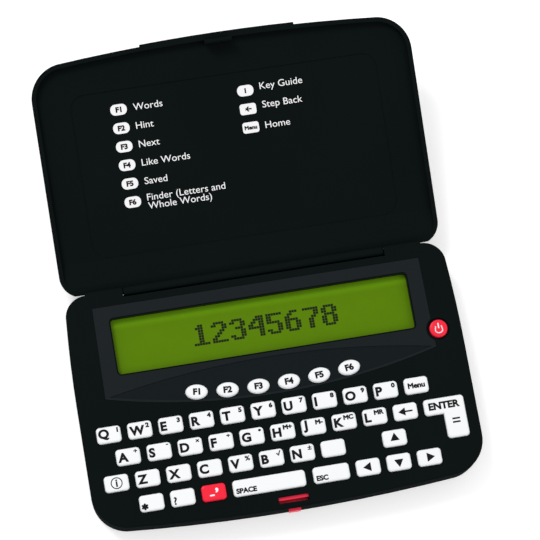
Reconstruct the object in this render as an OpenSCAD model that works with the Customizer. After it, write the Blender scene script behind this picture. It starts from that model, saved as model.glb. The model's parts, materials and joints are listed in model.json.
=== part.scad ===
// Pocket word solver with a hinged lid: a low case with a display, 46 keys, a lid on
// two end pins, a sliding lid latch and a sliding battery door. Sizes in millimetres.
// Origin: middle of the underside. X runs along the hinge, Y towards it, Z up.

/* [Case] */
// Strip between the outermost key and the side of the case
side_margin = 4.15; // [4:0.05:8]
// Strip from the centre line of the lowest key row to the front edge
front_margin = 9.2; // [9:0.1:14]
// Strip from the display panel to the rear edge
rear_margin = 5; // [5:0.1:9]
// Height of the case without the lid
case_height = 12.5; // [12:0.1:18]
// Side walls of both case halves
wall = 1.8; // [1.5:0.1:2.4]
// Floor of the lower case
floor_thick = 1.6; // [1.4:0.1:2.4]
// Top wall of the upper case round the keys
deck_thick = 2; // [1.8:0.1:2.2]
// Radius of the long bow of the front edge
nose_radius = 650; // [400:10:2000]
// Radius of the front corners
front_corner = 12; // [6:0.5:16]
// Radius of the rear corners
rear_corner = 7.5; // [4:0.5:10]
// How far each side draws in towards the rear
side_draw = 1; // [0.5:0.1:1.5]
// Rounding of the upper edge
top_round = 0.6; // [0.4:0.1:1]
// Rounding of the lower edge
bottom_round = 1.6; // [0.8:0.1:2]

/* [Keys] */
// Distance between key centres along a row
key_pitch = 10.4; // [9.4:0.1:13]
// Distance between key rows
row_pitch = 8.2; // [7.6:0.1:11]
// Width of a letter key
key_w = 8.1; // [6.5:0.1:8.8]
// Depth of a letter key
key_h = 5.5; // [4.5:0.1:6.4]
// Corner radius of a letter key
key_corner = 1.2; // [0.6:0.1:2]
// Height of a key top over the case
key_rise = 1; // [0.6:0.1:1.1]
// How far a key goes down
key_travel = 0.9; // [0.6:0.05:1]
// Extra width of the bar of the enter key
enter_extra = 5.6; // [4:0.1:8]
// Width of the leg of the enter key
enter_leg = 7.4; // [6:0.1:9]
// Length of a function key
fn_w = 7.4; // [6:0.1:8]
// Breadth of a function key
fn_h = 5; // [4:0.1:5.6]
// Distance between function keys
fn_pitch = 10.36; // [9:0.1:12]
// Radius of the arc on which the function keys lie
fn_arc = 232; // [150:1:400]
// Distance from the panel's lowest point to the function key arc
fn_offset = 3.3; // [3.2:0.1:4]
// Diameter of the power key
power_d = 6.1; // [5:0.1:6.5]

/* [Display] */
// Distance from the case side to the display panel
panel_side = 10.2; // [10:0.1:14]
// Depth of the panel at its middle
panel_depth = 38.3; // [36:0.1:48]
// Gap from the panel's lowest point to the first key row's centre
panel_gap = 4.9; // [4.5:0.1:9]
// Radius of the panel's lower edge
panel_arc = 225; // [150:1:400]
// Thickness of the panel
panel_thick = 1.2; // [1:0.05:1.3]
// Depth of the lower lying crescent that carries the function keys
crescent_step = 0.25; // [0.1:0.05:0.4]
// Radius of the step along the upper side of the crescent
crescent_arc = 286; // [200:1:400]
// Strip of panel beside the window
window_side = 5.3; // [4:0.1:8]
// Strip of panel behind the window
window_rear = 4.5; // [3.5:0.1:7]
// Depth of the window, front to rear
window_h = 19.1; // [14:0.1:20]
// Thickness of the display glass
glass_thick = 1.8; // [1.4:0.1:1.8]
// Glass that the case covers on each side of the window
glass_lap = 1.5; // [1:0.1:2]

/* [Lid and hinge] */
// Angle by which the lid stands open, where 0 is closed
lid_open = 165.4; // [0:0.1:165.4]
// Hollow of the lid over the keys
lid_hollow = 2.05; // [1.8:0.05:3]
// Thickness of the lid's plate
lid_plate = 2.5; // [1.8:0.1:3.5]
// Rim of the lid
lid_rim = 1.5; // [1.2:0.1:2]
// How far the lid's sides stand in from the case's
lid_inset = 1; // [0.5:0.1:1.5]
// Rounding of the lid's outer edge
lid_round = 1.6; // [0.8:0.1:2]
// Width of each case ear that holds a hinge pin
ear_width = 21.2; // [12:0.1:26]
// Outer radius of the case's hinge knuckles
knuckle_r = 1.6; // [1.5:0.05:1.8]
// Diameter of the hinge pins
pin_d = 1.7; // [1.2:0.1:1.8]
// Length of a hinge pin
pin_length = 3.4; // [2:0.1:5]
// Half width of the lid's front tab
tab_half = 26.3; // [15:0.1:35]

/* [Latch] */
// Width of the latch slot
slot_w = 10.1; // [8:0.1:14]
// Width of the latch button
button_w = 4; // [3:0.1:6]
// How far the button stands out of the front wall
button_out = 0.9; // [0.9:0.05:1.4]
// Way of the latch
latch_travel = 0.9; // [0.7:0.05:0.9]

/* [Battery compartment] */
// Diameter of a coin cell
cell_d = 20; // [16:0.1:23]
// Thickness of a coin cell
cell_t = 3.2; // [1.6:0.1:3.3]
// Distance between the cells' centres
cell_gap = 22; // [21:0.5:30]
// Way that the door slides before it lifts off
door_slide = 4; // [3:0.1:6]
// Thickness of the door
door_thick = 1; // [0.8:0.05:1.2]

/* [Fits] */
// Gap round a key in its hole
key_fit = 0.2; // [0.1:0.05:0.3]
// Gap round a hinge pin in its bore
pin_fit = 0.05; // [0.03:0.01:0.1]
// Gap between pieces that only lie in each other
seat_fit = 0.1; // [0.05:0.05:0.2]
// Gap between the closed lid and the case
lid_gap = 0.15; // [0.1:0.05:0.3]
// Gap at each end of the lid's hinge tongue
tongue_fit = 0.4; // [0.3:0.05:0.6]

/* [Hidden] */
$fn = 64;
arc_fn = 360;
eps = 0.01;
key_shift = 0.2;
case_dark = [0.06, 0.08, 0.08];
panel_grey = [0.13, 0.15, 0.16];
key_white = [0.95, 0.96, 0.95];
key_red = [0.95, 0.18, 0.28];
latch_red = [0.85, 0.17, 0.27];
glass_green = [0.35, 0.49, 0.08];
board_green = [0.1, 0.35, 0.2];
steel = [0.75, 0.76, 0.78];
mat_grey = [0.55, 0.56, 0.58];

// Plan of the case
function key_x(c) = (c - 5.5) * key_pitch + key_shift;
enter_w = key_w + enter_extra;
case_half = key_x(10.5) - key_w / 2 + enter_w + side_margin;
case_depth = rear_margin + panel_depth + panel_gap + 3 * row_pitch + front_margin;
y_front = -case_depth / 2;
y_rear = case_depth / 2;
function key_y(row) = y_front + front_margin + (3 - row) * row_pitch;

// Levels, counted from the deck down and from the floor up
deck_z = case_height;
ceiling_z = deck_z - deck_thick;
flange_thick = 0.6;
flange_z = ceiling_z - 0.15 - flange_thick;
stem_z = flange_z - 0.15;
glass_z = ceiling_z - 0.3 - glass_thick;
frame_thick = 1;
board_top = glass_z - frame_thick;
board_thick = 1.2;
board_z = board_top - board_thick;
parting_z = board_z + 0.3;
mat_thick = 0.6;
dome_top = stem_z - key_travel - 0.1;

// Panel and window
panel_half = case_half - panel_side;
panel_top = y_rear - rear_margin;
panel_low = panel_top - panel_depth;
window_half = panel_half - window_side;
window_top = panel_top - window_rear;
window_low = window_top - window_h;
window_mid = (window_top + window_low) / 2;
panel_wider = 0.6;
crescent_top = panel_top - 25.4;
fn_y = panel_low + fn_offset;
power_x = panel_half + 2.3;
power_y = y_rear - 30.2;

// Hinge
axis_y = y_rear - 0.5;
axis_z = deck_z - knuckle_r;
notch_half = case_half - ear_width;
notch_y = y_rear - 2.5;
tongue_half = notch_half - tongue_fit;
tongue_r = knuckle_r - 0.1;
pin_block = pin_length + 1.6;
lid_half = case_half - lid_inset;
lid_front = y_front + 0.4;
lid_rear = y_rear - 1.3;
lid_z = deck_z + lid_gap;
lid_floor = lid_z + lid_hollow;
lid_top = lid_floor + lid_plate;

// Latch, with its slot in the deck just behind the front wall
slot_front = y_front + wall + 0.05;
slot_rear = slot_front + 2.35;
slot_roof = deck_z - 0.8;
hook_tip = slot_front + 1.5;
hook_half = slot_w / 2 - 0.45;
hook_stem = slot_front + 0.15;
hook_low = deck_z - 3;
bar_z = hook_low + 1;
bar_front = hook_tip - 0.35;
latch_half = slot_w / 2 + 0.35;
button_low = board_z + 1.1;
button_high = deck_z - 1.8;
latch_low = board_z - 2.7;
latch_rear = bar_front + latch_travel + 3.1;
spring_r = 1.3;
spring_wire = 0.22;
spring_length = 4;

// Battery compartment, under the display
cell_y = window_mid - 6.45;
bay_half = cell_gap / 2 + cell_d / 2 + 3.5;
bay_depth = cell_d + 3;
door_half = bay_half + 0.5;
door_front = cell_y - bay_depth / 2 - 1.5;
door_rear = cell_y + bay_depth / 2 + 1.5;
ledge_z = door_thick + 0.1;
ledge_top = ledge_z + 1.1;
mouth_half = bay_half - 1.5;
mouth_front = cell_y - cell_d / 2 - 1;
mouth_rear = cell_y + cell_d / 2 + 1;
cell_z = ledge_z + 0.1;
tongue_y = [cell_y - 7, cell_y + 3.5];
tongue_long = 3;

// Screws: left and right at the rear, then down the sides
screw_spots = [
    [case_half - 5.7, y_rear - 12],
    [-case_half + 5.7, y_rear - 12],
    [-case_half + 5.7, key_y(1) - 0.05],
    [case_half - 7.5, (key_y(0) + key_y(1)) / 2 + 5.3],
    [-case_half + 8.5, key_y(3) - 0.2],
    [case_half - 8.5, key_y(3) - 0.7]
];
boss_r = 2.6;
screw_r = 1;
head_r = 1.9;
head_z = 1.4;
seat_z = 3;

// Rectangular keys as column, row and width
space_w = 2 * key_pitch + 3.6;
esc_w = key_pitch + 1.8;
space_c = 4.788;
esc_c = 6.798;
key_table = concat(
    [for (c = [0 : 10]) [c, 0, key_w]],
    [for (c = [0.5 : 1 : 9.5]) [c, 1, key_w]],
    [for (c = [0 : 7]) [c, 2, key_w]],
    [[9, 2, key_w]],
    [for (c = [1 : 3]) [c, 3, key_w]],
    [for (c = [8 : 10]) [c, 3, key_w]],
    [[space_c, 3, space_w], [esc_c, 3, esc_w]]
);
fn_steps = [-2.5, -1.5, -0.5, 0.5, 1.5, 2.5];
function fn_x(step) = step * fn_pitch;
function fn_turn(step) = asin(fn_x(step) / fn_arc);
function fn_at(step) = fn_y + fn_arc - sqrt(fn_arc * fn_arc - fn_x(step) * fn_x(step));
leg_low = key_y(2) - key_h / 2 - 0.3;
enter_left = key_x(10.5) - key_w / 2;

// A rectangle with round corners about the origin
module round_rect(w, h, r) {
    square([w - 2 * r, h], center = true);
    square([w, h - 2 * r], center = true);
    for (sx = [-1, 1], sy = [-1, 1])
        translate([sx * (w / 2 - r), sy * (h / 2 - r)])
            circle(r);
}

// One side limit of the case, straight at the front and drawn in at the rear
module side_limit(half, i) {
    turn_y = y_rear - 36;
    side_r = pow(y_rear - turn_y - rear_corner, 2) / (2 * side_draw);
    translate([-3 * half, y_front - 9])
        square([4 * half - i, turn_y - y_front + 9]);
    translate([half - side_r, turn_y])
        circle(side_r - i, $fn = arc_fn);
}

// Outline seen from above, drawn in by i all round
module plan(half, rear_half, front, rear, i) {
    cx = half - front_corner;
    inner = nose_radius - front_corner;
    cy = front + nose_radius - sqrt(inner * inner - cx * cx);
    tx = cx * (nose_radius - i) / inner;
    ry = rear - rear_corner;
    rx = rear_half - rear_corner;
    intersection() {
        union() {
            translate([-tx, front - 2])
                square([2 * tx, cy - front + 3]);
            translate([-half + i, cy])
                square([2 * (half - i), ry - cy]);
            translate([-rx, ry - 1])
                square([2 * rx, rear_corner + 1 - i]);
            for (s = [-1, 1])
                translate([s * cx, cy])
                    circle(front_corner - i);
            for (s = [-1, 1])
                translate([s * rx, ry])
                    circle(rear_corner - i);
        }
        translate([0, front + nose_radius])
            circle(nose_radius - i, $fn = arc_fn);
        children();
    }
}

module case_plan(i) {
    plan(case_half, case_half - side_draw, y_front, y_rear, i)
        intersection() {
            side_limit(case_half, i);
            mirror([1, 0])
                side_limit(case_half, i);
        }
}

module lid_plan(i) {
    plan(lid_half, lid_half, lid_front, lid_rear + 0.65, i)
        translate([-case_half, y_front - 5])
            square([2 * case_half, lid_rear - i - y_front + 5]);
}

module case_slab(i, z0, z1) {
    translate([0, 0, z0])
        linear_extrude(z1 - z0)
            case_plan(i);
}

module lid_slab(i, z0, z1) {
    translate([0, 0, z0])
        linear_extrude(z1 - z0)
            lid_plan(i);
}

// A bar along X from x0 to x1 with its section given as a box in Y and Z
module box(x0, x1, y0, y1, z0, z1) {
    translate([x0, y0, z0])
        cube([x1 - x0, y1 - y0, z1 - z0]);
}

module rod_x(x0, x1, y, z, r) {
    translate([x0, y, z])
        rotate([0, 90, 0])
            cylinder(h = x1 - x0, r = r);
}

// Room behind the case's middle for the lid's hinge tongue
module hinge_notch(h) {
    box(-h, h, notch_y + notch_half - h, y_rear + 5, -1, deck_z + 1);
}

// Outlines of all the keys, wider by g on every side
module key_outlines(g) {
    for (k = key_table)
        translate([key_x(k[0]), key_y(k[1])])
            round_rect(k[2] + 2 * g, key_h + 2 * g, key_corner + g);
    enter_outline(g);
}

module enter_outline(g) {
    translate([enter_left + enter_w / 2, key_y(1)])
        round_rect(enter_w + 2 * g, key_h + 2 * g, key_corner + g);
    leg_top = key_y(1) + key_h / 2;
    translate([enter_left + enter_w - enter_leg / 2, (leg_top + leg_low) / 2])
        round_rect(enter_leg + 2 * g, leg_top - leg_low + 2 * g, key_corner + g);
}

// An oval: two long arcs closed by two end arcs
module oval(w, h, g) {
    scale([w + 2 * g, h + 2 * g])
        circle(0.5, $fn = 32);
}

module fn_place(step) {
    translate([fn_x(step), fn_at(step)])
        rotate(fn_turn(step))
            children();
}

module upper_case() {
    color(case_dark)
        difference() {
            union() {
                upper_shell();
                upper_bosses();
                hinge_ears();
            }
            upper_openings();
        }
}

// Outer skin and hollow of the upper half, with a rebate for the lower half's lip
module upper_shell() {
    difference() {
        hull() {
            case_slab(0, parting_z, deck_z - top_round);
            case_slab(0.3 * top_round, parting_z, deck_z - 0.3 * top_round);
            case_slab(top_round, parting_z, deck_z);
        }
        hinge_notch(notch_half);
        difference() {
            case_slab(wall, parting_z - 1, ceiling_z);
            hinge_notch(notch_half + wall);
        }
        difference() {
            case_slab(wall / 2, parting_z - 1, parting_z + 1.1);
            hinge_notch(notch_half + wall / 2);
        }
    }
}

module upper_bosses() {
    for (p = screw_spots)
        translate([p[0], p[1], board_top + 0.05])
            cylinder(h = ceiling_z - board_top, r = boss_r);
}

// Solid ears with the knuckles that carry the lid's pins
module hinge_ears() {
    for (s = [0, 1])
        mirror([s, 0, 0]) {
            rod_x(notch_half, case_half - 8.5, axis_y, axis_z, knuckle_r);
            box(notch_half, notch_half + pin_block, notch_y, y_rear - 0.6, axis_z - 1.9,
                deck_z - 1);
        }
}

module upper_openings() {
    for (s = [0, 1])
        mirror([s, 0, 0])
            rod_x(notch_half - 1, notch_half + pin_length - tongue_fit + 0.3, axis_y,
                axis_z, pin_d / 2 + pin_fit);
    for (p = screw_spots)
        translate([p[0], p[1], parting_z])
            cylinder(h = ceiling_z - parting_z - 0.4, r = screw_r + 0.05);
    translate([0, 0, ceiling_z - 1])
        linear_extrude(deck_thick + 2)
            key_outlines(key_fit);
    translate([0, 0, deck_z - panel_thick])
        linear_extrude(panel_thick + 1)
            panel_plan(-seat_fit);
    translate([0, window_mid, ceiling_z - 1])
        linear_extrude(deck_thick + 2)
            round_rect(2 * window_half, window_h, 1.2);
    for (step = fn_steps)
        translate([0, 0, ceiling_z - 1])
            linear_extrude(deck_thick)
                fn_place(step)
                    oval(fn_w, fn_h, key_fit);
    power_well();
    latch_openings();
}

// Hole of the power key with its round dish
module power_well() {
    translate([power_x, power_y, ceiling_z - 1])
        cylinder(h = deck_thick + 2, r = power_d / 2 + key_fit);
    translate([power_x, power_y, deck_z - 0.5])
        cylinder(h = 1, r1 = power_d / 2 + 0.55, r2 = power_d / 2 + 0.95);
}

module latch_openings() {
    box(-slot_w / 2, slot_w / 2, slot_front, slot_rear, ceiling_z - 1, deck_z + 1);
    box(-latch_half - 0.5, latch_half + 0.5, slot_front - 0.4, slot_rear + 1.1, ceiling_z - 1,
        slot_roof);
    button_hole();
}

module button_hole() {
    box(-button_w / 2 - key_fit, button_w / 2 + key_fit, y_front - 2, slot_front + 0.5,
        button_low - 0.2, button_high + 0.2);
}

module lower_case() {
    color(case_dark)
        difference() {
            union() {
                lower_shell();
                lower_bosses();
                battery_walls();
                latch_rails();
            }
            lower_openings();
        }
}

// Outer skin, hollow and lip of the lower half
module lower_shell() {
    step = 0.15;
    difference() {
        union() {
            hull() {
                case_slab(step + bottom_round, 0, parting_z);
                case_slab(step + 0.3 * bottom_round, 0.3 * bottom_round, parting_z);
                case_slab(step, bottom_round, parting_z);
            }
            difference() {
                case_slab(wall / 2 + seat_fit, parting_z - 1, parting_z + 1);
                hinge_notch(notch_half + wall / 2 + seat_fit);
            }
        }
        hinge_notch(notch_half);
        difference() {
            case_slab(wall, floor_thick, parting_z + 2);
            hinge_notch(notch_half + wall);
        }
        button_hole();
    }
}

module lower_bosses() {
    for (p = screw_spots)
        translate([p[0], p[1], floor_thick - 0.5])
            cylinder(h = board_z - floor_thick + 0.5, r = boss_r + 0.3);
}

// Raised ledge of the door and the walls of the compartment
module battery_walls() {
    outer = bay_half + 1.2;
    box(-door_half - 1, door_half + 1, door_front - 1, door_rear + door_slide + 1,
        floor_thick - 0.5, ledge_top);
    difference() {
        box(-outer, outer, cell_y - bay_depth / 2 - 1.2, cell_y + bay_depth / 2 + 1.2,
            floor_thick, board_z - 0.2);
        box(-bay_half, bay_half, cell_y - bay_depth / 2, cell_y + bay_depth / 2,
            floor_thick - 1, board_z);
    }
}

// Guides under and beside the latch slide, and the rib behind its spring
module latch_rails() {
    for (s = [0, 1])
        mirror([s, 0, 0]) {
            box(latch_half + 0.2, latch_half + 1.2, slot_front + 0.3, latch_rear,
                floor_thick - 0.5, board_z - 0.7);
            box(2.5, latch_half + 1, slot_front + 0.3, latch_rear, floor_thick - 0.5,
                latch_low - 0.15);
        }
    box(-4, 4, latch_rear + spring_length, latch_rear + spring_length + 1.2,
        floor_thick - 0.5, board_z - 0.4);
}

module lower_openings() {
    for (p = screw_spots) {
        translate([p[0], p[1], -1])
            cylinder(h = seat_z + 1, r = head_r + 0.2);
        translate([p[0], p[1], 0])
            cylinder(h = board_z + 1, r = screw_r + 0.15);
    }
    translate([0, (door_front + door_rear + door_slide) / 2, -1])
        linear_extrude(ledge_z + 1)
            round_rect(2 * door_half + 0.4, door_rear - door_front + door_slide + 0.4, 1.4);
    box(-mouth_half, mouth_half, mouth_front, mouth_rear, -1, ledge_top + 1);
    for (y = tongue_y, s = [0, 1])
        mirror([s, 0, 0])
            box(mouth_half - 1, bay_half, y + door_slide - 0.3, y + door_slide + tongue_long + 0.3,
                -1, ledge_top + 1);
}

// Outline of the display panel with its bay for the power key, larger by a negative i
module panel_plan(i) {
    difference() {
        panel_field(i);
        translate([power_x, power_y])
            circle(power_d / 2 + 1.1 + i);
    }
}

module panel_field(i) {
    intersection() {
        polygon([
            [-panel_half + i, panel_top - i],
            [panel_half - i, panel_top - i],
            [panel_half + panel_wider - i, panel_low - 5],
            [-panel_half - panel_wider + i, panel_low - 5]
        ]);
        translate([0, panel_low + panel_arc])
            circle(panel_arc - i, $fn = arc_fn);
    }
}

// Bezel of the display: window, lower lying crescent and the function keys' holes
module display_panel() {
    color(panel_grey)
        difference() {
            translate([0, 0, deck_z - panel_thick])
                linear_extrude(panel_thick)
                    panel_plan(0);
            translate([0, 0, deck_z - crescent_step])
                linear_extrude(1)
                    intersection() {
                        panel_plan(0.8);
                        translate([0, crescent_top - crescent_arc])
                            circle(crescent_arc, $fn = arc_fn);
                    }
            translate([0, window_mid, deck_z - 2 * panel_thick])
                linear_extrude(3 * panel_thick)
                    round_rect(2 * window_half, window_h, 1.2);
            for (step = fn_steps)
                translate([0, 0, deck_z - 2 * panel_thick])
                    linear_extrude(3 * panel_thick)
                        fn_place(step)
                            oval(fn_w, fn_h, key_fit);
        }
}

module lcd_glass() {
    color(glass_green)
        translate([0, window_mid, glass_z])
            linear_extrude(glass_thick)
                square([2 * (window_half + glass_lap), window_h + 2 * glass_lap + 0.9], center = true);
}

// Holder between glass and board, with a contact strip along each long side
module lcd_frame() {
    w = 2 * (window_half + glass_lap);
    h = window_h + 2 * glass_lap + 0.9;
    color(mat_grey)
        translate([0, window_mid, board_top])
            difference() {
                linear_extrude(frame_thick)
                    square([w, h], center = true);
                translate([0, 0, -1])
                    linear_extrude(frame_thick + 2)
                        square([w - 5, h - 7], center = true);
                for (s = [-1, 1])
                    translate([-w / 2 + 4, s * (h / 2 - 1.8) - 0.25, frame_thick - 0.4])
                        cube([w - 8, 0.5, 1]);
            }
}

module circuit_board() {
    color(board_green)
        translate([0, 0, board_z])
            difference() {
                linear_extrude(board_thick)
                    intersection() {
                        case_plan(wall + 0.6);
                        translate([-case_half, slot_rear + 1.6])
                            square([2 * case_half, notch_y - wall - 0.5 - slot_rear - 1.6]);
                    }
                for (p = screw_spots)
                    translate([p[0], p[1], -1])
                        cylinder(h = board_thick + 2, r = screw_r + 0.2);
            }
}

// Rubber sheet with a dome under each key
module key_mat() {
    color(mat_grey)
        difference() {
            union() {
                translate([0, 0, board_top])
                    linear_extrude(mat_thick)
                        intersection() {
                            case_plan(wall + 1.2);
                            mat_area();
                        }
                mat_domes();
            }
            for (p = screw_spots)
                translate([p[0], p[1], board_top - 1])
                    cylinder(h = 3, r = boss_r + 0.4);
        }
}

module mat_area() {
    strip = case_half - 12;
    translate([-strip, slot_rear + 1.8])
        square([2 * strip, row_pitch]);
    translate([-case_half, key_y(3) + 3.4])
        square([2 * case_half, fn_y + 2.1 - key_y(3)]);
    translate([power_x - 3.6, fn_y])
        square([7.2, power_y + 3.6 - fn_y]);
}

module dome_at(x, y) {
    translate([x, y, board_top + mat_thick - eps])
        cylinder(h = dome_top - board_top - mat_thick + eps, r1 = 2.3, r2 = 1.7);
}

module mat_domes() {
    for (k = key_table)
        dome_at(key_x(k[0]), key_y(k[1]));
    for (step = fn_steps)
        dome_at(fn_x(step), fn_at(step));
    dome_at(enter_left + enter_w - enter_leg / 2, key_y(1));
    dome_at(power_x, power_y);
}

module coin_cells() {
    color(steel)
        for (s = [-1, 1])
            translate([s * cell_gap / 2, cell_y, cell_z]) {
                cylinder(h = 0.7 * cell_t, r = cell_d / 2);
                cylinder(h = cell_t, r = cell_d / 2 - 1.1);
            }
}

// Two leaf contacts under the board that press on the cells
module battery_contacts() {
    top = board_z - 0.05;
    low = cell_z + cell_t + 0.1;
    color(steel)
        for (s = [-1, 1])
            translate([s * cell_gap / 2, cell_y + 3, 0])
                rotate([90, 0, 0])
                    linear_extrude(6)
                        polygon([
                            [-7, top], [7, top], [7, top - 0.25], [-2, top - 0.25],
                            [3, low + 0.3], [6, low + 0.8], [6, low + 0.5], [3, low],
                            [-3, top - 0.25], [-7, top - 0.25]
                        ]);
}

// Self tapping screws from below, head against the boss shoulder
module case_screws() {
    color(steel)
        for (p = screw_spots)
            translate([p[0], p[1], 0])
                difference() {
                    union() {
                        translate([0, 0, head_z])
                            cylinder(h = seat_z - head_z, r = head_r);
                        translate([0, 0, seat_z - eps])
                            cylinder(h = ceiling_z - seat_z - 0.9, r = screw_r);
                    }
                    for (a = [0, 90])
                        rotate([0, 0, a])
                            translate([-1.2, -0.25, head_z - 1])
                                cube([2.4, 0.5, 1.7]);
                }
}

// Flush door with four tongues that hook over the ledge and a ribbed thumb patch
module battery_door() {
    color(case_dark)
        difference() {
            union() {
                translate([0, (door_front + door_rear) / 2, 0])
                    linear_extrude(door_thick)
                        round_rect(2 * door_half, door_rear - door_front, 1.2);
                for (y = tongue_y, s = [0, 1])
                    mirror([s, 0, 0]) {
                        box(mouth_half - 1.1, mouth_half - 0.3, y, y + tongue_long,
                            door_thick - 0.1, ledge_top + 0.9);
                        box(mouth_half - 1.1, bay_half - 0.2, y, y + tongue_long,
                            ledge_top + 0.15, ledge_top + 0.9);
                    }
            }
            for (i = [0 : 4])
                box(-7, 7, door_front + 2 + i * 1.4, door_front + 2.6 + i * 1.4, -1, 0.35);
        }
}

module lid() {
    color(case_dark)
        translate([0, axis_y, axis_z])
            rotate([-lid_open, 0, 0])
                translate([0, -axis_y, -axis_z])
                    lid_closed();
}

// The lid as it lies on the case
module lid_closed() {
    difference() {
        union() {
            hull() {
                lid_slab(0, lid_z, lid_top - lid_round);
                lid_slab(0.3 * lid_round, lid_z, lid_top - 0.3 * lid_round);
                lid_slab(lid_round, lid_z, lid_top);
            }
            lid_tab();
            hinge_tongue();
        }
        lid_pocket();
    }
    lid_hook();
    for (s = [0, 1])
        mirror([s, 0, 0])
            rod_x(tongue_half - 1, tongue_half + pin_length, axis_y, axis_z, pin_d / 2);
}

// Hollow over the keys, with a ramp towards the hinge and a shallow label field
module lid_pocket() {
    ramp_y = lid_rear - 10.7;
    difference() {
        lid_slab(lid_rim, lid_z - 1, lid_floor);
        translate([-case_half, 0, 0])
            rotate([90, 0, 90])
                linear_extrude(2 * case_half)
                    polygon([
                        [ramp_y, lid_floor + 1],
                        [ramp_y, lid_floor],
                        [ramp_y + 8, lid_z],
                        [y_rear, lid_z],
                        [y_rear, lid_floor + 1]
                    ]);
    }
    translate([0, (ramp_y - 0.5 + y_front + 14) / 2, lid_floor - 0.5])
        linear_extrude(0.75)
            round_rect(2 * (lid_half - 12.5), ramp_y - 0.5 - y_front - 14, 5);
}

module lid_tab() {
    difference() {
        translate([0, lid_front + nose_radius - 0.7, lid_z])
            cylinder(h = lid_hollow + 0.5 * lid_plate, r = nose_radius, $fn = arc_fn);
        translate([-2 * nose_radius - tab_half, 0, 0])
            cube([4 * nose_radius, 5 * nose_radius, 99], center = true);
        translate([2 * nose_radius + tab_half, 0, 0])
            cube([4 * nose_radius, 5 * nose_radius, 99], center = true);
        translate([-500, lid_front + lid_rim, 0])
            cube([1000, 2 * nose_radius, 99]);
    }
}

// Middle of the lid's rear edge: a web down to a round barrel between the ears
module hinge_tongue() {
    rod_x(-tongue_half, tongue_half, axis_y, axis_z, tongue_r);
    difference() {
        box(-tongue_half, tongue_half, axis_y - tongue_r, axis_y + tongue_r, axis_z, lid_top);
        translate([0, axis_y + tongue_r - 1.2, lid_top - 1.2])
            difference() {
                box(-case_half, case_half, 0, 3, 0, 3);
                rod_x(-case_half, case_half, 0, 0, 1.2);
            }
    }
    box(-tongue_half, tongue_half, lid_rear - 2, axis_y, lid_z, lid_top - 0.02);
}

// Catch that drops through the slot in front of the latch bar
module lid_hook() {
    box(-hook_half, hook_half, hook_stem - 1.2, hook_tip, lid_z, lid_floor + 0.2);
    box(-hook_half, hook_half, hook_stem, hook_stem + 0.8, hook_low, lid_z + 0.2);
    translate([-hook_half, 0, 0])
        rotate([90, 0, 90])
            linear_extrude(2 * hook_half)
                polygon([
                    [hook_stem, hook_low],
                    [hook_stem + 0.8, hook_low],
                    [hook_tip, hook_low + 0.4],
                    [hook_tip, hook_low + 0.8],
                    [hook_stem, hook_low + 0.8]
                ]);
}

// Bar that holds the hook, its web and foot, and the button in the front wall
module latch_slide() {
    web_y = bar_front + 0.55;
    color(latch_red)
        union() {
            box(-latch_half, latch_half, bar_front, web_y + 0.5, bar_z, slot_roof - 0.2);
            box(-latch_half, latch_half, web_y, web_y + 0.85, hook_low - 0.5, bar_z + 0.2);
            box(-latch_half, latch_half, bar_front - 0.1, web_y + 0.85, latch_low, hook_low - 0.3);
            box(-latch_half, latch_half, bar_front - 0.1, latch_rear - 0.1, latch_low,
                latch_low + 2);
            box(-hook_half - 0.3, hook_half + 0.3, slot_front + 0.15, bar_front, hook_low - 1.2,
                hook_low - 0.3);
            box(-button_w / 2, button_w / 2, y_front + 0.9, bar_front, button_low,
                hook_low - 0.3);
            intersection() {
                box(-button_w / 2, button_w / 2, y_front - button_out, y_front + 0.95,
                    button_low, button_high);
                translate([0, y_front - button_out + 30, button_low - 1])
                    cylinder(h = 9, r = 30);
            }
        }
}

// Compression spring between the latch's foot and the rib of the lower case,
// one helical tube as a ring of points every eighth of a turn
module latch_spring() {
    turns = 5;
    steps = 8 * turns;
    sides = 6;
    rise = (spring_length - 0.1 - 2 * spring_wire) / steps;
    rings = [for (i = [0 : steps], j = [0 : sides - 1])
        let (a = 45 * i, b = 360 * j / sides, r = spring_r + spring_wire * cos(b))
            [r * cos(a), spring_wire + i * rise + spring_wire * sin(b), r * sin(a)]];
    skin = [for (i = [0 : steps - 1], j = [0 : sides - 1])
        let (k = (j + 1) % sides)
            [i * sides + j, i * sides + k, (i + 1) * sides + k, (i + 1) * sides + j]];
    first = [for (j = [0 : sides - 1]) sides - 1 - j];
    last = [for (j = [0 : sides - 1]) steps * sides + j];
    color(steel)
        translate([0, latch_rear, latch_low + 1])
            polyhedron(rings, concat(skin, [first, last]));
}

// A cap that rounds in towards its top, on a stem with a retaining flange
module key_body(w, h) {
    edge_z = deck_z + key_rise - 0.6;
    translate([0, 0, stem_z])
        linear_extrude(edge_z - stem_z)
            round_rect(w, h, key_corner);
    translate([0, 0, flange_z])
        linear_extrude(flange_thick)
            round_rect(w + 1.2, h + 1.2, key_corner + 0.6);
    hull() {
        cap_slab(w, h, 0.03, edge_z - 0.02);
        cap_slab(w, h, 0.18, edge_z + 0.38);
        cap_slab(w, h, 0.6, edge_z + 0.58);
    }
}

module cap_slab(w, h, i, z) {
    translate([0, 0, z])
        linear_extrude(0.02)
            round_rect(w - 2 * i, h - 2 * i, key_corner - i / 2, $fn = 16);
}

module row_key(c, row, w = key_w) {
    translate([key_x(c), key_y(row), 0])
        key_body(w, key_h);
}

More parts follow.
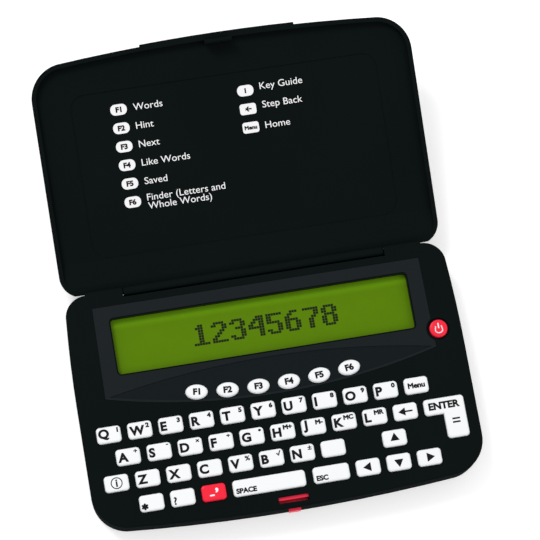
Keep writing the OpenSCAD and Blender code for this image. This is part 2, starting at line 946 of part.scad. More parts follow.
// Domed oval key that stands through the panel
module fn_key(step) {
    color(key_white)
        translate([0, 0, 0])
            fn_place(step) {
                translate([0, 0, stem_z])
                    linear_extrude(deck_z + key_rise - 0.7 - stem_z)
                        oval(fn_w, fn_h, 0);
                translate([0, 0, flange_z])
                    linear_extrude(flange_thick)
                        oval(fn_w, fn_h, 0.6);
                hull() {
                    oval_slab(-0.06, deck_z + key_rise - 0.72);
                    oval_slab(-0.25, deck_z + key_rise - 0.25);
                    oval_slab(-0.8, deck_z + key_rise - 0.02);
                }
            }
}

module oval_slab(g, z) {
    translate([0, 0, z])
        linear_extrude(0.02)
            oval(fn_w, fn_h, g);
}

module key_f1() { fn_key(-2.5); }
module key_f2() { fn_key(-1.5); }
module key_f3() { fn_key(-0.5); }
module key_f4() { fn_key(0.5); }
module key_f5() { fn_key(1.5); }
module key_f6() { fn_key(2.5); }

// Round key turned about its own axis
module key_power() {
    r = power_d / 2;
    top = deck_z + key_rise - 0.3;
    color(key_red)
        translate([power_x, power_y, 0])
            rotate_extrude()
                polygon([
                    [0, stem_z],
                    [r, stem_z],
                    [r, flange_z],
                    [r + 0.6, flange_z],
                    [r + 0.6, flange_z + flange_thick],
                    [r, flange_z + flange_thick],
                    [r, top - 0.7],
                    [r - 0.15, top - 0.3],
                    [r - 0.6, top - 0.1],
                    [r - 1.4, top],
                    [0, top]
                ]);
}

module key_q() { color(key_white) row_key(0, 0); }
module key_w() { color(key_white) row_key(1, 0); }
module key_e() { color(key_white) row_key(2, 0); }
module key_r() { color(key_white) row_key(3, 0); }
module key_t() { color(key_white) row_key(4, 0); }
module key_y() { color(key_white) row_key(5, 0); }
module key_u() { color(key_white) row_key(6, 0); }
module key_i() { color(key_white) row_key(7, 0); }
module key_o() { color(key_white) row_key(8, 0); }
module key_p() { color(key_white) row_key(9, 0); }
module key_menu() { color(key_white) row_key(10, 0); }
module key_a() { color(key_white) row_key(0.5, 1); }
module key_s() { color(key_white) row_key(1.5, 1); }
module key_d() { color(key_white) row_key(2.5, 1); }
module key_f() { color(key_white) row_key(3.5, 1); }
module key_g() { color(key_white) row_key(4.5, 1); }
module key_h() { color(key_white) row_key(5.5, 1); }
module key_j() { color(key_white) row_key(6.5, 1); }
module key_k() { color(key_white) row_key(7.5, 1); }
module key_l() { color(key_white) row_key(8.5, 1); }
module key_back() { color(key_white) row_key(9.5, 1); }

// Enter key: a bar with a leg down its right end
module key_enter() {
    leg_top = key_y(1) + key_h / 2;
    color(key_white)
        union() {
            translate([enter_left + enter_w / 2, key_y(1), 0])
                key_body(enter_w, key_h);
            translate([enter_left + enter_w - enter_leg / 2, (leg_top + leg_low) / 2, 0])
                key_body(enter_leg, leg_top - leg_low);
        }
}

module key_info() { color(key_white) row_key(0, 2); }
module key_z() { color(key_white) row_key(1, 2); }
module key_x() { color(key_white) row_key(2, 2); }
module key_c() { color(key_white) row_key(3, 2); }
module key_v() { color(key_white) row_key(4, 2); }
module key_b() { color(key_white) row_key(5, 2); }
module key_n() { color(key_white) row_key(6, 2); }
module key_blank() { color(key_white) row_key(7, 2); }
module key_up() { color(key_white) row_key(9, 2); }
module key_star() { color(key_white) row_key(1, 3); }
module key_question() { color(key_white) row_key(2, 3); }
module key_dash() { color(key_red) row_key(3, 3); }
module key_space() { color(key_white) row_key(space_c, 3, space_w); }
module key_esc() { color(key_white) row_key(esc_c, 3, esc_w); }
module key_left() { color(key_white) row_key(8, 3); }
module key_down() { color(key_white) row_key(9, 3); }
module key_right() { color(key_white) row_key(10, 3); }

upper_case();
lower_case();
display_panel();
lcd_glass();
lcd_frame();
circuit_board();
key_mat();
coin_cells();
battery_contacts();
case_screws();
battery_door();
lid();
latch_slide();
latch_spring();
key_f1();
key_f2();
key_f3();
key_f4();
key_f5();
key_f6();
key_power();
key_q();
key_w();
key_e();
key_r();
key_t();
key_y();
key_u();
key_i();
key_o();
key_p();
key_menu();
key_a();
key_s();
key_d();
key_f();
key_g();
key_h();
key_j();
key_k();
key_l();
key_back();
key_enter();
key_info();
key_z();
key_x();
key_c();
key_v();
key_b();
key_n();
key_blank();
key_up();
key_star();
key_question();
key_dash();
key_space();
key_esc();
key_left();
key_down();
key_right();
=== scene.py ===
import bpy
import json
import math
from mathutils import Matrix, Vector

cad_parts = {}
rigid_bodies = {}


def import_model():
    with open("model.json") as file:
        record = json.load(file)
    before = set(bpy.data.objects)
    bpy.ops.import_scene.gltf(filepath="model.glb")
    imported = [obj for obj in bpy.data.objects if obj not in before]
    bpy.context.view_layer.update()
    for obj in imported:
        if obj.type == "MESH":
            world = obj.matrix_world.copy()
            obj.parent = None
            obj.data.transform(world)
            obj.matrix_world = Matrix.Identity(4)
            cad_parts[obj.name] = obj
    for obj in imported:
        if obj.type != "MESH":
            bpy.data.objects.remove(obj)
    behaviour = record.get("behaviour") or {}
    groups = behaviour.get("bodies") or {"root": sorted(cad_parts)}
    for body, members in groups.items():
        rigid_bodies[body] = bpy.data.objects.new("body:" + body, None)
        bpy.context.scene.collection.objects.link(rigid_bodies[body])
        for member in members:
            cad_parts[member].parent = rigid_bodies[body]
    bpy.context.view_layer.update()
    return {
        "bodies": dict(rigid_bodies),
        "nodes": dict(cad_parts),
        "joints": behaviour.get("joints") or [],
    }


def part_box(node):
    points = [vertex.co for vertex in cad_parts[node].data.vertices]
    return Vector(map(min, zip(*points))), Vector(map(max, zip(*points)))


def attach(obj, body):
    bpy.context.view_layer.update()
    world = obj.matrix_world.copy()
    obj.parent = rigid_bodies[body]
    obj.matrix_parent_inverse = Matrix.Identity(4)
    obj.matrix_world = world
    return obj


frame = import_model()
bpy.ops.object.select_all(action="DESELECT")
bpy.context.view_layer.objects.active = None


# Case halves: two shells of black ABS, moulded with a fine spark-eroded grain that
# scatters what little light it returns, and closed by six screws from below. The
# battery door slides into the lower half and comes from the same plastic.
def srgb(red, green, blue):
    out = []
    for part in (red, green, blue):
        part = part / 255
        out.append(part / 12.92 if part < 0.04045 else ((part + 0.055) / 1.055) ** 2.4)
    return (*out, 1)


def link(tree, start, end):
    tree.links.new(start, end)


def moulded_skin_group():
    tree = bpy.data.node_groups.new("moulded skin", "ShaderNodeTree")
    for name, kind, value in (
        ("Colour", "NodeSocketColor", (0.5, 0.5, 0.5, 1)),
        ("Cast", "NodeSocketColor", (0.5, 0.5, 0.5, 1)),
        ("Grain per metre", "NodeSocketFloat", 5000),
        ("Cloud per metre", "NodeSocketFloat", 30),
        ("Roughness", "NodeSocketFloat", 0.5),
        ("Roughness spread", "NodeSocketFloat", 0.1),
    ):
        socket = tree.interface.new_socket(name, in_out="INPUT", socket_type=kind)
        socket.default_value = value
    tree.interface.new_socket("Colour", in_out="OUTPUT", socket_type="NodeSocketColor")
    tree.interface.new_socket("Roughness", in_out="OUTPUT", socket_type="NodeSocketFloat")
    tree.interface.new_socket("Height", in_out="OUTPUT", socket_type="NodeSocketFloat")
    inside = tree.nodes.new("NodeGroupInput")
    outside = tree.nodes.new("NodeGroupOutput")
    place = tree.nodes.new("ShaderNodeTexCoord")
    grain = tree.nodes.new("ShaderNodeTexNoise")
    grain.inputs["Detail"].default_value = 3
    cloud = tree.nodes.new("ShaderNodeTexNoise")
    cloud.inputs["Detail"].default_value = 4
    blend = tree.nodes.new("ShaderNodeMix")
    blend.data_type = "RGBA"
    centred = tree.nodes.new("ShaderNodeMath")
    centred.operation = "SUBTRACT"
    centred.inputs[1].default_value = 0.5
    spread = tree.nodes.new("ShaderNodeMath")
    spread.operation = "MULTIPLY_ADD"
    link(tree, place.outputs["Object"], grain.inputs["Vector"])
    link(tree, place.outputs["Object"], cloud.inputs["Vector"])
    link(tree, inside.outputs["Grain per metre"], grain.inputs["Scale"])
    link(tree, inside.outputs["Cloud per metre"], cloud.inputs["Scale"])
    link(tree, cloud.outputs["Fac"], blend.inputs[0])
    link(tree, inside.outputs["Colour"], blend.inputs[6])
    link(tree, inside.outputs["Cast"], blend.inputs[7])
    link(tree, cloud.outputs["Fac"], centred.inputs[0])
    link(tree, centred.outputs[0], spread.inputs[0])
    link(tree, inside.outputs["Roughness spread"], spread.inputs[1])
    link(tree, inside.outputs["Roughness"], spread.inputs[2])
    link(tree, blend.outputs[2], outside.inputs["Colour"])
    link(tree, spread.outputs[0], outside.inputs["Roughness"])
    link(tree, grain.outputs["Fac"], outside.inputs["Height"])
    return tree


moulded_skin = moulded_skin_group()


def plastic(name, colour, cast, rough=0.5, spread=0.1, grain=5000, cloud=30, depth=0.02, shine=0.3,
            index=1.5):
    material = bpy.data.materials.new(name)
    material.use_nodes = True
    tree = material.node_tree
    shader = tree.nodes["Principled BSDF"]
    shader.inputs["Specular IOR Level"].default_value = shine
    shader.inputs["IOR"].default_value = index
    skin = tree.nodes.new("ShaderNodeGroup")
    skin.node_tree = moulded_skin
    skin.inputs["Colour"].default_value = colour
    skin.inputs["Cast"].default_value = cast
    skin.inputs["Grain per metre"].default_value = grain
    skin.inputs["Cloud per metre"].default_value = cloud
    skin.inputs["Roughness"].default_value = rough
    skin.inputs["Roughness spread"].default_value = spread
    bump = tree.nodes.new("ShaderNodeBump")
    bump.inputs["Strength"].default_value = 0.25
    bump.inputs["Distance"].default_value = depth / 1000
    link(tree, skin.outputs["Colour"], shader.inputs["Base Color"])
    link(tree, skin.outputs["Roughness"], shader.inputs["Roughness"])
    link(tree, skin.outputs["Height"], bump.inputs["Height"])
    link(tree, bump.outputs["Normal"], shader.inputs["Normal"])
    return material


def coat_node(name, material):
    skin = frame["nodes"][name].data.materials
    skin.clear()
    skin.append(material)


case_black = plastic("case black", srgb(13, 19, 19), srgb(17, 22, 22), rough=0.55, spread=0.12,
                     shine=0.02, index=1.08)
for piece in ("upper_case", "lower_case", "battery_door"):
    coat_node(piece, case_black)


# Hinge ledge: a shelf of the lower case under the hinge tongue, moulded with it, which
# closes the gap behind the deck when the lid stands open.
def settle(piece, body):
    bpy.ops.object.select_all(action="DESELECT")
    piece.select_set(True)
    bpy.context.view_layer.objects.active = piece
    bpy.ops.object.transform_apply(location=True, rotation=True, scale=True)
    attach(piece, body)


ledge_width = 90.2
ledge_depth = 2.6
ledge_thick = 1.1
ledge_y = 39.5
ledge_z = 3.4
bpy.ops.mesh.primitive_cube_add(size=0.001, location=(0, ledge_y / 1000, ledge_z / 1000))
ledge = bpy.context.object
ledge.name = "hinge_ledge"
ledge.scale = (ledge_width, ledge_depth, ledge_thick)
ledge.data.materials.append(case_black)
settle(ledge, "case")


# Screws, coin cells, contact leaves and latch spring: zinc plated and stainless steel,
# turned, pressed or wound. The screws show from below, the rest lies inside the case.
def metal(name, colour, rough):
    material = bpy.data.materials.new(name)
    material.use_nodes = True
    tree = material.node_tree
    shader = tree.nodes["Principled BSDF"]
    shader.inputs["Metallic"].default_value = 1
    skin = tree.nodes.new("ShaderNodeGroup")
    skin.node_tree = moulded_skin
    skin.inputs["Colour"].default_value = colour
    skin.inputs["Cast"].default_value = tuple(0.85 * part for part in colour[:3]) + (1,)
    skin.inputs["Cloud per metre"].default_value = 200
    skin.inputs["Roughness"].default_value = rough
    skin.inputs["Roughness spread"].default_value = 0.15
    link(tree, skin.outputs["Colour"], shader.inputs["Base Color"])
    link(tree, skin.outputs["Roughness"], shader.inputs["Roughness"])
    return material


plated_steel = metal("plated steel", srgb(196, 198, 202), rough=0.32)
for piece in ("case_screws", "coin_cells", "battery_contacts", "latch_spring"):
    coat_node(piece, plated_steel)

# Circuit board, rubber key mat and display holder: green glass-fibre board, grey silicone
# sheet and black holder, all sealed inside the case under the keys and the glass.
for piece, name, colour, cast, rough, grain in (
    ("circuit_board", "board green", srgb(28, 92, 50), srgb(22, 78, 44), 0.4, 900),
    ("key_mat", "mat grey", srgb(120, 122, 126), srgb(110, 112, 116), 0.7, 2500),
    ("lcd_frame", "holder black", srgb(30, 32, 34), srgb(26, 28, 30), 0.5, 4000),
):
    coat_node(piece, plastic(name, colour, cast, rough=rough, grain=grain))


# Display glass: a reflective liquid crystal cell with a yellow-green polariser behind it,
# evenly coloured, with a painted highlight: a band of lighter colour along its rear edge.
def display_green():
    material = bpy.data.materials.new("display green")
    material.use_nodes = True
    tree = material.node_tree
    shader = tree.nodes["Principled BSDF"]
    shader.inputs["Specular IOR Level"].default_value = 0.04
    shader.inputs["Roughness"].default_value = 0.2
    place = tree.nodes.new("ShaderNodeTexCoord")
    parts = tree.nodes.new("ShaderNodeSeparateXYZ")
    # painted highlight: the colour turns lighter towards the rear edge of the glass
    painted_highlight_band = tree.nodes.new("ShaderNodeMapRange")
    painted_highlight_band.interpolation_type = "SMOOTHSTEP"
    painted_highlight_band.inputs["From Min"].default_value = 0.0275
    painted_highlight_band.inputs["From Max"].default_value = 0.0298
    cloud = tree.nodes.new("ShaderNodeTexNoise")
    cloud.inputs["Scale"].default_value = 260
    cloud.inputs["Detail"].default_value = 5
    # mixes the display green with the lighter colour of the painted highlight
    green_with_painted_highlight = tree.nodes.new("ShaderNodeMix")
    green_with_painted_highlight.data_type = "RGBA"
    green_with_painted_highlight.inputs[6].default_value = srgb(89, 127, 8)
    green_with_painted_highlight.inputs[7].default_value = srgb(98, 144, 10)
    film = tree.nodes.new("ShaderNodeMix")
    film.data_type = "RGBA"
    film.blend_type = "MULTIPLY"
    film.inputs[0].default_value = 0.08
    link(tree, place.outputs["Object"], parts.inputs[0])
    link(tree, place.outputs["Object"], cloud.inputs["Vector"])
    link(tree, parts.outputs["Y"], painted_highlight_band.inputs["Value"])
    link(tree, painted_highlight_band.outputs["Result"], green_with_painted_highlight.inputs[0])
    link(tree, green_with_painted_highlight.outputs[2], film.inputs[6])
    link(tree, cloud.outputs["Fac"], film.inputs[7])
    link(tree, film.outputs[2], shader.inputs["Base Color"])
    return material


coat_node("lcd_glass", display_green())


# Characters on the display: eight cells of six by eight square dots, which the liquid
# crystal darkens under voltage. They read as plain numbers, drawn as a film on the glass.
def ink(name, colour, cast, rough=0.6):
    return plastic(name, colour, cast, rough, spread=0.1, grain=9000, cloud=300, depth=0.002, shine=0.1)


def join(name, pieces):
    bpy.ops.object.select_all(action="DESELECT")
    for piece in pieces:
        piece.select_set(True)
    bpy.context.view_layer.objects.active = pieces[0]
    if len(pieces) > 1:
        bpy.ops.object.join()
    whole = bpy.context.view_layer.objects.active
    whole.name = name
    whole.data.name = name
    return whole


digits = {
    "1": "001100 011100 001100 001100 001100 001100 001100 111111",
    "2": "011110 110011 000011 000110 001100 011000 110000 111111",
    "3": "011110 110011 000011 001110 000011 000011 110011 011110",
    "4": "000111 001111 011011 110011 111111 000011 000011 000011",
    "5": "111111 110000 110000 111110 000011 000011 110011 011110",
    "6": "001110 011000 110000 111110 110011 110011 110011 011110",
    "7": "111111 000011 000011 000110 001100 001100 001100 001100",
    "8": "011110 110011 110011 011110 110011 110011 110011 011110",
}
dot_pitch = 0.9
dot_size = 0.8
dot_lift = 0.02
cell_pitch = 6.27
digits_left = -23.75
digits_top = 25.45
dot_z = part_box("lcd_glass")[1].z + dot_lift / 1000
bpy.ops.mesh.primitive_plane_add(size=dot_size / 1000, location=(0, 0, dot_z))
dot = bpy.context.object
dot.data.materials.append(ink("display dots", srgb(10, 20, 2), srgb(14, 24, 3), rough=0.4))
dots = []
for cell, digit in enumerate("12345678"):
    for row, bits in enumerate(digits[digit].split()):
        for column, bit in enumerate(bits):
            if bit == "1":
                x = digits_left + cell * cell_pitch + (column + 0.5) * dot_pitch
                y = digits_top - (row + 0.5) * dot_pitch
                copy = dot.copy()
                copy.data = dot.data.copy()
                copy.location = (x / 1000, y / 1000, dot_z)
                bpy.context.scene.collection.objects.link(copy)
                dots.append(copy)
bpy.data.objects.remove(dot)
settle(join("display_digits", dots), "case")


# Display bezel: a separate satin black moulding pressed into the case. Its crescent for
# the six function keys lies a little lower and carries painted shade: below a set height the colour is
# darker.
def panel_grey():
    material = plastic("panel grey", srgb(24, 29, 32), srgb(27, 32, 35), rough=0.35, spread=0.08,
                       grain=7000, cloud=18, depth=0.004, shine=0.04)
    tree = material.node_tree
    shader = tree.nodes["Principled BSDF"]
    skin = tree.nodes["Group"]
    place = tree.nodes.new("ShaderNodeTexCoord")
    parts = tree.nodes.new("ShaderNodeSeparateXYZ")
    # painted shade: below this height the crescent gets a darker colour
    painted_shade_mask = tree.nodes.new("ShaderNodeMapRange")
    painted_shade_mask.inputs["From Min"].default_value = 0.0123
    painted_shade_mask.inputs["From Max"].default_value = 0.0124
    painted_shade = tree.nodes.new("ShaderNodeMix")
    painted_shade.data_type = "RGBA"
    painted_shade.inputs[6].default_value = srgb(18, 25, 27)
    link(tree, place.outputs["Object"], parts.inputs[0])
    link(tree, parts.outputs["Z"], painted_shade_mask.inputs["Value"])
    link(tree, painted_shade_mask.outputs["Result"], painted_shade.inputs[0])
    link(tree, skin.outputs["Colour"], painted_shade.inputs[7])
    link(tree, painted_shade.outputs[2], shader.inputs["Base Color"])
    return material


coat_node("display_panel", panel_grey())


# Window edge: the bevel of the bezel round the display window, which reads as a thin
# black line where it lies in shade. It is painted shade here, a flat black band drawn on the bezel's
# face.
def rounded_plate(width, height, corner, material):
    bpy.ops.mesh.primitive_plane_add(size=0.001, location=(0, 0, 0))
    piece = bpy.context.object
    piece.scale = (width, height, 1)
    bpy.ops.object.transform_apply(location=True, rotation=True, scale=True)
    bpy.ops.object.mode_set(mode="EDIT")
    bpy.ops.mesh.select_all(action="SELECT")
    bpy.ops.mesh.bevel(offset=corner / 1000, segments=6, affect="VERTICES")
    bpy.ops.object.mode_set(mode="OBJECT")
    piece.data.materials.append(material)
    return piece


window_width = 101.0
window_height = 19.1
window_y = 21.95
band = 0.45
band_corner = 1.6
band_lift = 0.01
# painted shade: a near-black band stands for the shaded bevel of the window
painted_bevel_shade = plastic("window edge", srgb(5, 8, 9), srgb(8, 11, 12), shine=0.02)
edge = rounded_plate(window_width + 2 * band, window_height + 2 * band, band_corner, painted_bevel_shade)
bpy.ops.object.mode_set(mode="EDIT")
bpy.ops.mesh.select_all(action="SELECT")
bpy.ops.mesh.inset(thickness=band / 1000)
bpy.ops.mesh.delete(type="FACE")
bpy.ops.object.mode_set(mode="OBJECT")
edge.name = "window_edge"
edge.location = (0, window_y / 1000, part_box("display_panel")[1].z + band_lift / 1000)
settle(edge, "case")


# Keys: caps moulded in white ABS with rounded edges, the hyphen key and the power key in
# red. Each stands on its own dome of the rubber mat and moves by itself.
def satin(name, colour, cast, rough, shine):
    return plastic(name, colour, cast, rough, spread=0.08, grain=6000, cloud=60, depth=0.004, shine=shine)


key_white = satin("key white", srgb(244, 246, 247), srgb(240, 242, 244), rough=0.35, shine=0.3)
key_red = satin("key red", srgb(247, 36, 62), srgb(241, 32, 58), rough=0.35, shine=0.2)
for body in frame["bodies"]:
    if body.startswith("key_"):
        key = body.removesuffix("_body")
        coat_node(key, key_red if key in ("key_power", "key_dash") else key_white)


# Key prints: a film of ink pad-printed on each cap, black on the white keys and white on
# the red ones, in bold plain capitals with the second sign small at the upper right.
film = 0.01
no_thickness = 1e-7
cap_of_font = 0.682
black_ink = ink("legend black", srgb(12, 12, 13), srgb(17, 17, 18))
white_ink = ink("legend white", srgb(247, 247, 248), srgb(240, 240, 242))


def lay_flat(piece, low, high):
    levels = [vertex.co.z for vertex in piece.data.vertices]
    bottom, top = min(levels), max(levels)
    flat = top - bottom < no_thickness
    squeeze = 1 if flat else (high - low) / (top - bottom)
    piece.data.transform(Matrix.Translation((0, 0, high if flat else low))
                         @ Matrix.Diagonal((1, 1, squeeze, 1)) @ Matrix.Translation((0, 0, -bottom)))


def printed(words, height, material, bold=0.05, widen=1.06):
    bpy.ops.object.text_add(location=(0, 0, 0))
    piece = bpy.context.object
    piece.data.body = words
    piece.data.fill_mode = "FRONT"
    piece.data.bevel_depth = bold
    piece.data.bevel_resolution = 0
    piece.data.resolution_u = 4
    bpy.ops.object.convert(target="MESH")
    piece = bpy.context.object
    scale = height / 1000 / (cap_of_font + 2 * bold)
    piece.data.transform(Matrix.Diagonal((widen * scale, scale, scale, 1)))
    piece.data.materials.clear()
    piece.data.materials.append(material)
    return piece


def corners_of(piece):
    xs = [vertex.co.x * 1000 for vertex in piece.data.vertices]
    ys = [vertex.co.y * 1000 for vertex in piece.data.vertices]
    return min(xs), max(xs), min(ys), max(ys)


def move_to(piece, x, y, level, across=0.5, along=0.5, turn=0.0):
    left, right, low, high = corners_of(piece)
    grip = Vector(((left + across * (right - left)) / 1000, (low + along * (high - low)) / 1000, 0))
    place = Matrix.Translation((x / 1000, y / 1000, 0)) @ Matrix.Rotation(turn, 4, "Z")
    piece.data.transform(place @ Matrix.Translation(-grip))
    lay_flat(piece, level / 1000, (level + film) / 1000)
    return piece


def cap_top(key):
    low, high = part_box(key)
    return (low.x + high.x) / 2 * 1000, (low.y + high.y) / 2 * 1000, high.z * 1000


def put_print(key, made):
    settle(join("print_" + key.removeprefix("key_"), made), key + "_body")


letter_height = 3.2
letter_left = 3.5
letter_foot = 1.75
sign_height = 1.65
point_height = 3.4
sign_right = 3.25
sign_top = 2.1
sign_wide = 1.12
figure_bold = 0.065
stroke_bold = 0.035


def letter_key(key, letter, sign):
    x, y, level = cap_top(key)
    large = printed(letter, letter_height, black_ink)
    made = [move_to(large, x - letter_left, y - letter_foot, level, across=0, along=0)]
    if sign:
        height = point_height if sign == "." else sign_height
        bold = figure_bold if sign[0].isalnum() else stroke_bold
        small = printed(sign, height, black_ink, bold, sign_wide)
        made.append(move_to(small, x + sign_right, y + sign_top, level, across=1, along=1))
    put_print(key, made)


for letters, signs in (
    ("QWERTYUIOP", "1234567890"),
    ("ASDFGHJKL", ("+", "-", "×", "÷", ".", "M+", "M-", "MC", "MR")),
    ("ZXCVBN", ("", "", "", "%", "√", "±")),
):
    for letter, sign in zip(letters, signs):
        letter_key("key_" + letter.lower(), letter, sign)


def word_key(key, words, height, dx=0.0, dy=0.0, across=0.5, bold=0.054, turn=0.0):
    x, y, level = cap_top(key)
    legend = printed(words, height, black_ink, bold)
    put_print(key, [move_to(legend, x + dx, y + dy, level, across, turn=turn)])


word_key("key_menu", "Menu", 1.95)
word_key("key_star", "*", 3.3, dx=-2.4, dy=-1.1)
word_key("key_question", "?", 2.6, dx=-2.6, dy=-0.8, bold=0.03)
word_key("key_space", "SPACE", 1.8, dx=-11.3, dy=-1.0, across=0)
word_key("key_esc", "ESC", 1.8, dx=-5.2, dy=-1.1, across=0)
fn_count = 6
fn_pitch = 10.36
fn_arc = 232
for place in range(fn_count):
    lean = math.asin((place - (fn_count - 1) / 2) * fn_pitch / fn_arc)
    word_key(f"key_f{place + 1}", f"F{place + 1}", 2.25, bold=0.056, turn=lean)


# Key signs: arrows, bars and rings pad-printed in the same ink as the letters. The power
# sign's ring is open at the top, where its bar stands.
def arrow_head(spot, size, turn, dx=0.0):
    x, y, level = spot
    bpy.ops.mesh.primitive_circle_add(vertices=3, radius=size / 1000, fill_type="NGON",
                                      location=((x + dx) / 1000, y / 1000, (level + film) / 1000),
                                      rotation=(0, 0, math.radians(turn - 90)))
    piece = bpy.context.object
    piece.data.materials.append(black_ink)
    bpy.ops.object.transform_apply(location=True, rotation=True, scale=True)
    return piece


def bar(spot, width, height, material, dx=0.0, dy=0.0):
    x, y, level = spot
    bpy.ops.mesh.primitive_plane_add(size=0.001, location=((x + dx) / 1000, (y + dy) / 1000,
                                                           (level + film) / 1000))
    piece = bpy.context.object
    piece.scale = (width, height, 1)
    piece.data.materials.append(material)
    bpy.ops.object.transform_apply(location=True, rotation=True, scale=True)
    return piece


def ring(spot, radius, breadth, material, dy=0.0, closed=True):
    x, y, level = spot
    ends_at_top = math.radians(-135)
    bpy.ops.curve.primitive_bezier_circle_add(radius=radius / 1000, rotation=(0, 0, ends_at_top))
    piece = bpy.context.object
    piece.data.splines[0].use_cyclic_u = closed
    piece.data.bevel_depth = breadth / 2000
    piece.data.bevel_resolution = 0
    piece.data.use_fill_caps = True
    bpy.ops.object.convert(target="MESH")
    piece = bpy.context.object
    bpy.ops.object.transform_apply(location=True, rotation=True, scale=True)
    piece.data.materials.clear()
    piece.data.materials.append(material)
    piece.data.transform(Matrix.Translation((x / 1000, (y + dy) / 1000, 0)))
    lay_flat(piece, level / 1000, (level + film) / 1000)
    return piece


def sign_on(spot, sign, height, material, bold, dx=0.0, dy=0.0):
    x, y, level = spot
    return move_to(printed(sign, height, material, bold), x + dx, y + dy, level)


for key, turn in (("key_up", 90), ("key_left", 180), ("key_down", 270), ("key_right", 0)):
    put_print(key, [arrow_head(cap_top(key), 1.8, turn)])

spot = cap_top("key_back")
head = arrow_head(spot, 1.6, turn=180, dx=-0.9)
shaft = bar(spot, 2.6, 0.55, black_ink, dx=1.1)
put_print("key_back", [head, shaft])

spot = cap_top("key_dash")
hyphen = bar(spot, 1.6, 0.5, white_ink, dx=-0.7, dy=-0.95)
apostrophe = sign_on(spot, "’", 3.6, white_ink, bold=0.04, dx=1.05, dy=0.55)
put_print("key_dash", [hyphen, apostrophe])

enter_margin = 0.6
enter_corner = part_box("key_enter")[1]
enter_right = enter_corner.x * 1000 - enter_margin
enter_top = enter_corner.y * 1000 - enter_margin
spot = (enter_right, enter_top, enter_corner.z * 1000)
word = sign_on(spot, "ENTER", 2.55, black_ink, bold=0.05, dx=-6.9, dy=-2.65)
lower_bar = bar(spot, 2.6, 0.58, black_ink, dx=-3.7, dy=-8.9)
upper_bar = bar(spot, 2.6, 0.58, black_ink, dx=-3.7, dy=-7.7)
put_print("key_enter", [word, lower_bar, upper_bar])

spot = cap_top("key_info")
circle = ring(spot, 1.8, 0.34, black_ink)
letter = sign_on(spot, "i", 2.7, black_ink, bold=0.03)
put_print("key_info", [circle, letter])

spot = cap_top("key_power")
circle = ring(spot, 1.4, 0.42, white_ink, dy=-0.2, closed=False)
stroke = bar(spot, 0.42, 1.8, white_ink, dy=0.9)
put_print("key_power", [circle, stroke])

# Latch: one slide moulded in red ABS with a fine satin face. Its bar shows in a slot of
# the deck and its button stands out of the front wall.
coat_node("latch_slide", satin("latch red", srgb(250, 48, 78), srgb(242, 44, 74), rough=0.4, shine=0.2))

# Lid: a shallow tray of the same black plastic, moulded with its rim, hook and two end
# pins. White printing on its inner field explains the function keys.
coat_node("lid", case_black)
lid_joint = next(joint for joint in frame["joints"] if joint["name"] == "lid_hinge")
hinge = Vector(lid_joint["pos_m"])
turned_back = Matrix.Rotation(math.radians(-lid_joint["range_deg"][1]), 4, "X")
opened = Matrix.Translation(hinge) @ turned_back @ Matrix.Translation(-hinge)
field_z = 14.95


def onto_lid(piece, x, y, lift=0.0):
    lay_flat(piece, 0, film / 1000)
    face_down = Matrix.Rotation(math.pi, 4, "X")
    on_field = Matrix.Translation((x / 1000, y / 1000, (field_z - lift) / 1000))
    piece.data.transform(opened @ on_field @ face_down)
    return piece


line_pitch = 6.3
first_line = -20.3
left_column = -36.5
right_column = 6.9
badge_width = 5.6
badge_height = 3.7
oval_corner = 1.7
square_corner = 0.9
short_height = 1.9
menu_height = 1.45
words_height = 2.25
words_left = 5.0
words_foot = -1.0
wrapped_foot = -3.9
key_guide = (
    ("F1", "Words", left_column, 0, oval_corner),
    ("F2", "Hint", left_column, 1, oval_corner),
    ("F3", "Next", left_column, 2, oval_corner),
    ("F4", "Like Words", left_column, 3, oval_corner),
    ("F5", "Saved", left_column, 4, oval_corner),
    ("F6", "Finder (Letters and", left_column, 5, oval_corner),
    ("i", "Key Guide", right_column, 0, oval_corner),
    ("←", "Step Back", right_column, 1, square_corner),
    ("Menu", "Home", right_column, 2, square_corner),
)
made = []
for short, words, x, line, corner in key_guide:
    y = first_line + line * line_pitch
    badge = rounded_plate(badge_width, badge_height, corner, white_ink)
    made.append(onto_lid(badge, x, y))
    small = printed(short, menu_height if short == "Menu" else short_height, black_ink, bold=0.055)
    made.append(onto_lid(move_to(small, 0, 0, 0), x, y, lift=film))
    beside = printed(words, words_height, white_ink, bold=0)
    made.append(onto_lid(move_to(beside, words_left, words_foot, 0, across=0, along=0), x, y))
wrapped = printed("Whole Words)", words_height, white_ink, bold=0)
wrapped = move_to(wrapped, words_left, wrapped_foot, 0, across=0, along=0)
made.append(onto_lid(wrapped, left_column, first_line + 5 * line_pitch))
settle(join("lid_print", made), "lid_body")


# Studio: a pale floor, a soft light from the rear left and a weaker one from the front
# right. Seen directly, in gloss or through glass, the floor and the surroundings are
# lifted to white. The floor has one side, so the base can be seen from below.
def seen_white(tree, plain, white):
    ray = tree.nodes.new("ShaderNodeLightPath")
    either = tree.nodes.new("ShaderNodeMath")
    either.operation = "MAXIMUM"
    any_of = tree.nodes.new("ShaderNodeMath")
    any_of.operation = "MAXIMUM"
    mix = tree.nodes.new("ShaderNodeMixShader")
    link(tree, ray.outputs["Is Camera Ray"], either.inputs[0])
    link(tree, ray.outputs["Is Glossy Ray"], either.inputs[1])
    link(tree, either.outputs[0], any_of.inputs[0])
    link(tree, ray.outputs["Is Transmission Ray"], any_of.inputs[1])
    link(tree, any_of.outputs[0], mix.inputs[0])
    link(tree, plain, mix.inputs[1])
    link(tree, white, mix.inputs[2])
    return mix.outputs[0]


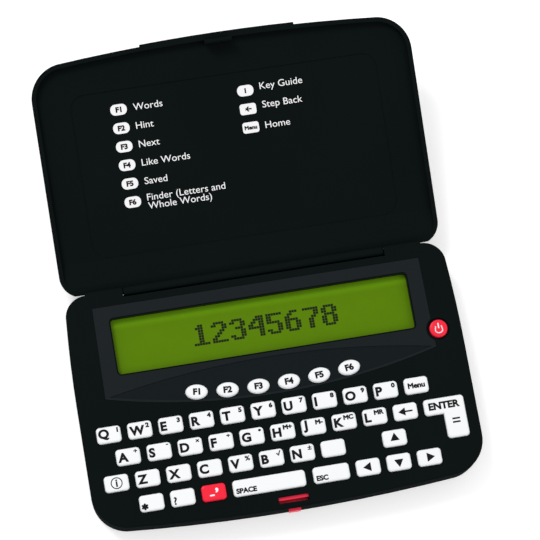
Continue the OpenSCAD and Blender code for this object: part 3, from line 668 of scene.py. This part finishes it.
def floor_white():
    material = bpy.data.materials.new("floor white")
    material.use_nodes = True
    tree = material.node_tree
    shader = tree.nodes["Principled BSDF"]
    shader.inputs["Base Color"].default_value = (0.9, 0.9, 0.9, 1)
    shader.inputs["Roughness"].default_value = 0.9
    shader.inputs["Specular IOR Level"].default_value = 0
    glow = tree.nodes.new("ShaderNodeEmission")
    glow.inputs["Strength"].default_value = 0.4
    lifted = tree.nodes.new("ShaderNodeAddShader")
    link(tree, shader.outputs[0], lifted.inputs[0])
    link(tree, glow.outputs[0], lifted.inputs[1])
    side = tree.nodes.new("ShaderNodeNewGeometry")
    clear = tree.nodes.new("ShaderNodeBsdfTransparent")
    one_sided = tree.nodes.new("ShaderNodeMixShader")
    link(tree, side.outputs["Backfacing"], one_sided.inputs[0])
    link(tree, seen_white(tree, shader.outputs[0], lifted.outputs[0]), one_sided.inputs[1])
    link(tree, clear.outputs[0], one_sided.inputs[2])
    link(tree, one_sided.outputs[0], tree.nodes["Material Output"].inputs["Surface"])
    return material


floor_size = 6
floor_drop = 0.0001
bpy.ops.mesh.primitive_plane_add(size=floor_size, location=(0, 0, -floor_drop))
floor = bpy.context.object
floor.name = "floor"
floor.data.materials.append(floor_white())

world = bpy.data.worlds.new("studio")
bpy.context.scene.world = world
world.use_nodes = True
tree = world.node_tree
back = tree.nodes["Background"]
back.inputs["Color"].default_value = (1, 1, 1, 1)
back.inputs["Strength"].default_value = 0.66
white = tree.nodes.new("ShaderNodeBackground")
white.inputs["Color"].default_value = (1, 1, 1, 1)
white.inputs["Strength"].default_value = 1
surroundings = seen_white(tree, back.outputs[0], white.outputs[0])
link(tree, surroundings, tree.nodes["World Output"].inputs["Surface"])


def lamp(name, place, size, power):
    case_middle = Vector((0, 0.02, 0))
    data = bpy.data.lights.new(name, "AREA")
    data.shape = "SQUARE"
    data.size = size
    data.energy = power
    piece = bpy.data.objects.new(name, data)
    piece.location = place
    piece.rotation_euler = (case_middle - Vector(place)).to_track_quat("-Z", "Y").to_euler()
    bpy.context.scene.collection.objects.link(piece)


lamp("key light", (-0.5, 0.75, 1.1), size=0.5, power=8.5)
lamp("fill light", (0.8, -0.6, 0.9), size=0.8, power=2.5)

# Camera: a long lens nearly overhead, placed where the photograph's outline of the case,
# the keys and the lid fits the model's.
camera_data = bpy.data.cameras.new("camera")
camera_data.sensor_width = 36
camera_data.lens = 180
camera_data.clip_start = 0.01
camera = bpy.data.objects.new("camera", camera_data)
bpy.context.scene.collection.objects.link(camera)
camera.matrix_world = Matrix((
    (0.983884, 0.154286, -0.090382, -0.07687),
    (-0.170556, 0.961557, -0.215218, -0.15626),
    (0.053703, 0.227164, 0.972375, 0.89804),
    (0, 0, 0, 1)))
bpy.context.scene.camera = camera
bpy.context.scene.view_settings.view_transform = "Standard"
